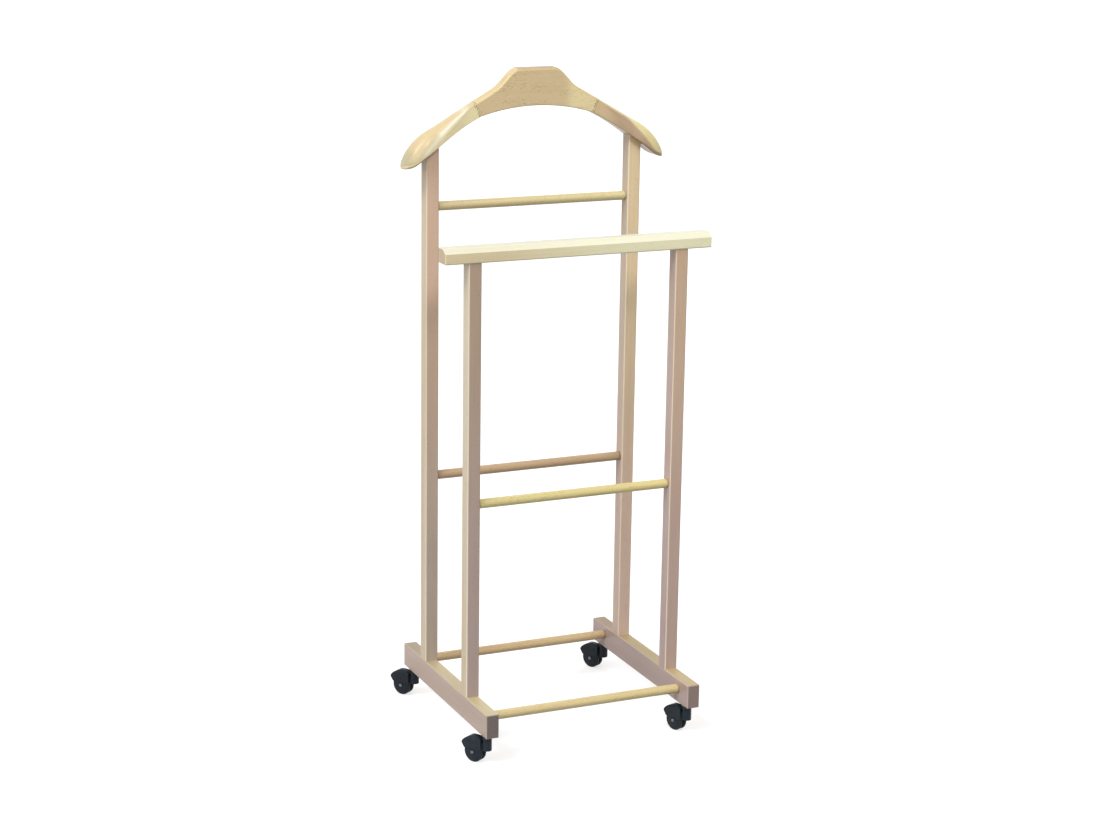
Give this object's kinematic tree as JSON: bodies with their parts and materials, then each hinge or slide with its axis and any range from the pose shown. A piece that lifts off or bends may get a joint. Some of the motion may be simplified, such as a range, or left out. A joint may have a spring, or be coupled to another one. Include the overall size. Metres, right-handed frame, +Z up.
{
  "type": "clothes valet stand",
  "caption": "Beech clothes valet stand on swivel castors, with a broad wooden coat hanger at the back, a trouser bar at the front and round rails between its posts.",
  "frame": {"origin": "on the floor, midway between the two runners and midway along them", "axes": "+Z up; the front with the trouser bar faces -Y and the coat hanger is at +Y; +X to the right seen from the front"},
  "size_m": [0.455, 0.3858, 1.0655],
  "materials": {
    "frame_wood": "satin lacquered beech",
    "rail_wood": "satin lacquered turned beech",
    "bar_wood": "satin lacquered beech",
    "hanger_centre_wood": "satin lacquered beech",
    "hanger_arm_wood": "satin lacquered beech",
    "dowel_wood": "raw fluted beech",
    "castor_plastic": "matte dark blue-grey",
    "wheel_plastic": "matte near-black",
    "zinc_steel": "zinc plated"
  },
  "bodies": {
    "stand": {"runner_left": "frame_wood", "runner_right": "frame_wood", "rear_post_left": "frame_wood", "rear_post_right": "frame_wood", "front_post_left": "frame_wood", "front_post_right": "frame_wood", "upper_rail": "rail_wood", "rear_middle_rail": "rail_wood", "front_middle_rail": "rail_wood", "rear_base_rail": "rail_wood", "front_base_rail": "rail_wood", "trouser_bar": "bar_wood", "hanger_centre": "hanger_centre_wood", "hanger_arm_left": "hanger_arm_wood", "hanger_arm_right": "hanger_arm_wood", "foot_dowels": "dowel_wood", "foot_screws": "zinc_steel", "bar_dowels": "dowel_wood", "hanger_dowels": "dowel_wood", "castor_sockets": "castor_plastic", "castor_grip_rings": "zinc_steel", "castor_stem_rear_left": "zinc_steel", "castor_stem_rear_right": "zinc_steel", "castor_stem_front_left": "zinc_steel", "castor_stem_front_right": "zinc_steel"},
    "castor_rear_left": {"castor_hood_rear_left": "castor_plastic", "castor_axle_rear_left": "zinc_steel"},
    "wheel_rear_left_outer": {"wheel_rear_left_outer": "wheel_plastic"},
    "wheel_rear_left_inner": {"wheel_rear_left_inner": "wheel_plastic"},
    "castor_rear_right": {"castor_hood_rear_right": "castor_plastic", "castor_axle_rear_right": "zinc_steel"},
    "wheel_rear_right_outer": {"wheel_rear_right_outer": "wheel_plastic"},
    "wheel_rear_right_inner": {"wheel_rear_right_inner": "wheel_plastic"},
    "castor_front_left": {"castor_hood_front_left": "castor_plastic", "castor_axle_front_left": "zinc_steel"},
    "wheel_front_left_outer": {"wheel_front_left_outer": "wheel_plastic"},
    "wheel_front_left_inner": {"wheel_front_left_inner": "wheel_plastic"},
    "castor_front_right": {"castor_hood_front_right": "castor_plastic", "castor_axle_front_right": "zinc_steel"},
    "wheel_front_right_outer": {"wheel_front_right_outer": "wheel_plastic"},
    "wheel_front_right_inner": {"wheel_front_right_inner": "wheel_plastic"}
  },
  "joints": [
    {"name": "swivel_rear_left", "type": "hinge", "parent": "stand", "child": "castor_rear_left", "pos_m": [-0.1765, 0.1605, 0.05], "axis": [0, 0, 1], "continuous": true},
    {"name": "roll_rear_left_outer", "type": "hinge", "parent": "castor_rear_left", "child": "wheel_rear_left_outer", "pos_m": [-0.18903, 0.17979, 0.017], "axis": [-0.8387, -0.5446, 0], "continuous": true},
    {"name": "roll_rear_left_inner", "type": "hinge", "parent": "castor_rear_left", "child": "wheel_rear_left_inner", "pos_m": [-0.18903, 0.17979, 0.017], "axis": [-0.8387, -0.5446, 0], "continuous": true},
    {"name": "swivel_rear_right", "type": "hinge", "parent": "stand", "child": "castor_rear_right", "pos_m": [0.1765, 0.1605, 0.05], "axis": [0, 0, 1], "continuous": true},
    {"name": "roll_rear_right_outer", "type": "hinge", "parent": "castor_rear_right", "child": "wheel_rear_right_outer", "pos_m": [0.1657, 0.18081, 0.017], "axis": [-0.8829, -0.4695, 0], "continuous": true},
    {"name": "roll_rear_right_inner", "type": "hinge", "parent": "castor_rear_right", "child": "wheel_rear_right_inner", "pos_m": [0.1657, 0.18081, 0.017], "axis": [-0.8829, -0.4695, 0], "continuous": true},
    {"name": "swivel_front_left", "type": "hinge", "parent": "stand", "child": "castor_front_left", "pos_m": [-0.1765, -0.1605, 0.05], "axis": [0, 0, 1], "continuous": true},
    {"name": "roll_front_left_outer", "type": "hinge", "parent": "castor_front_left", "child": "wheel_front_left_outer", "pos_m": [-0.18835, -0.14078, 0.017], "axis": [-0.8572, -0.515, 0], "continuous": true},
    {"name": "roll_front_left_inner", "type": "hinge", "parent": "castor_front_left", "child": "wheel_front_left_inner", "pos_m": [-0.18835, -0.14078, 0.017], "axis": [-0.8572, -0.515, 0], "continuous": true},
    {"name": "swivel_front_right", "type": "hinge", "parent": "stand", "child": "castor_front_right", "pos_m": [0.1765, -0.1605, 0.05], "axis": [0, 0, 1], "continuous": true},
    {"name": "roll_front_right_outer", "type": "hinge", "parent": "castor_front_right", "child": "wheel_front_right_outer", "pos_m": [0.16901, -0.13875, 0.017], "axis": [-0.9455, -0.3256, 0], "continuous": true},
    {"name": "roll_front_right_inner", "type": "hinge", "parent": "castor_front_right", "child": "wheel_front_right_inner", "pos_m": [0.16901, -0.13875, 0.017], "axis": [-0.9455, -0.3256, 0], "continuous": true}
  ]
}
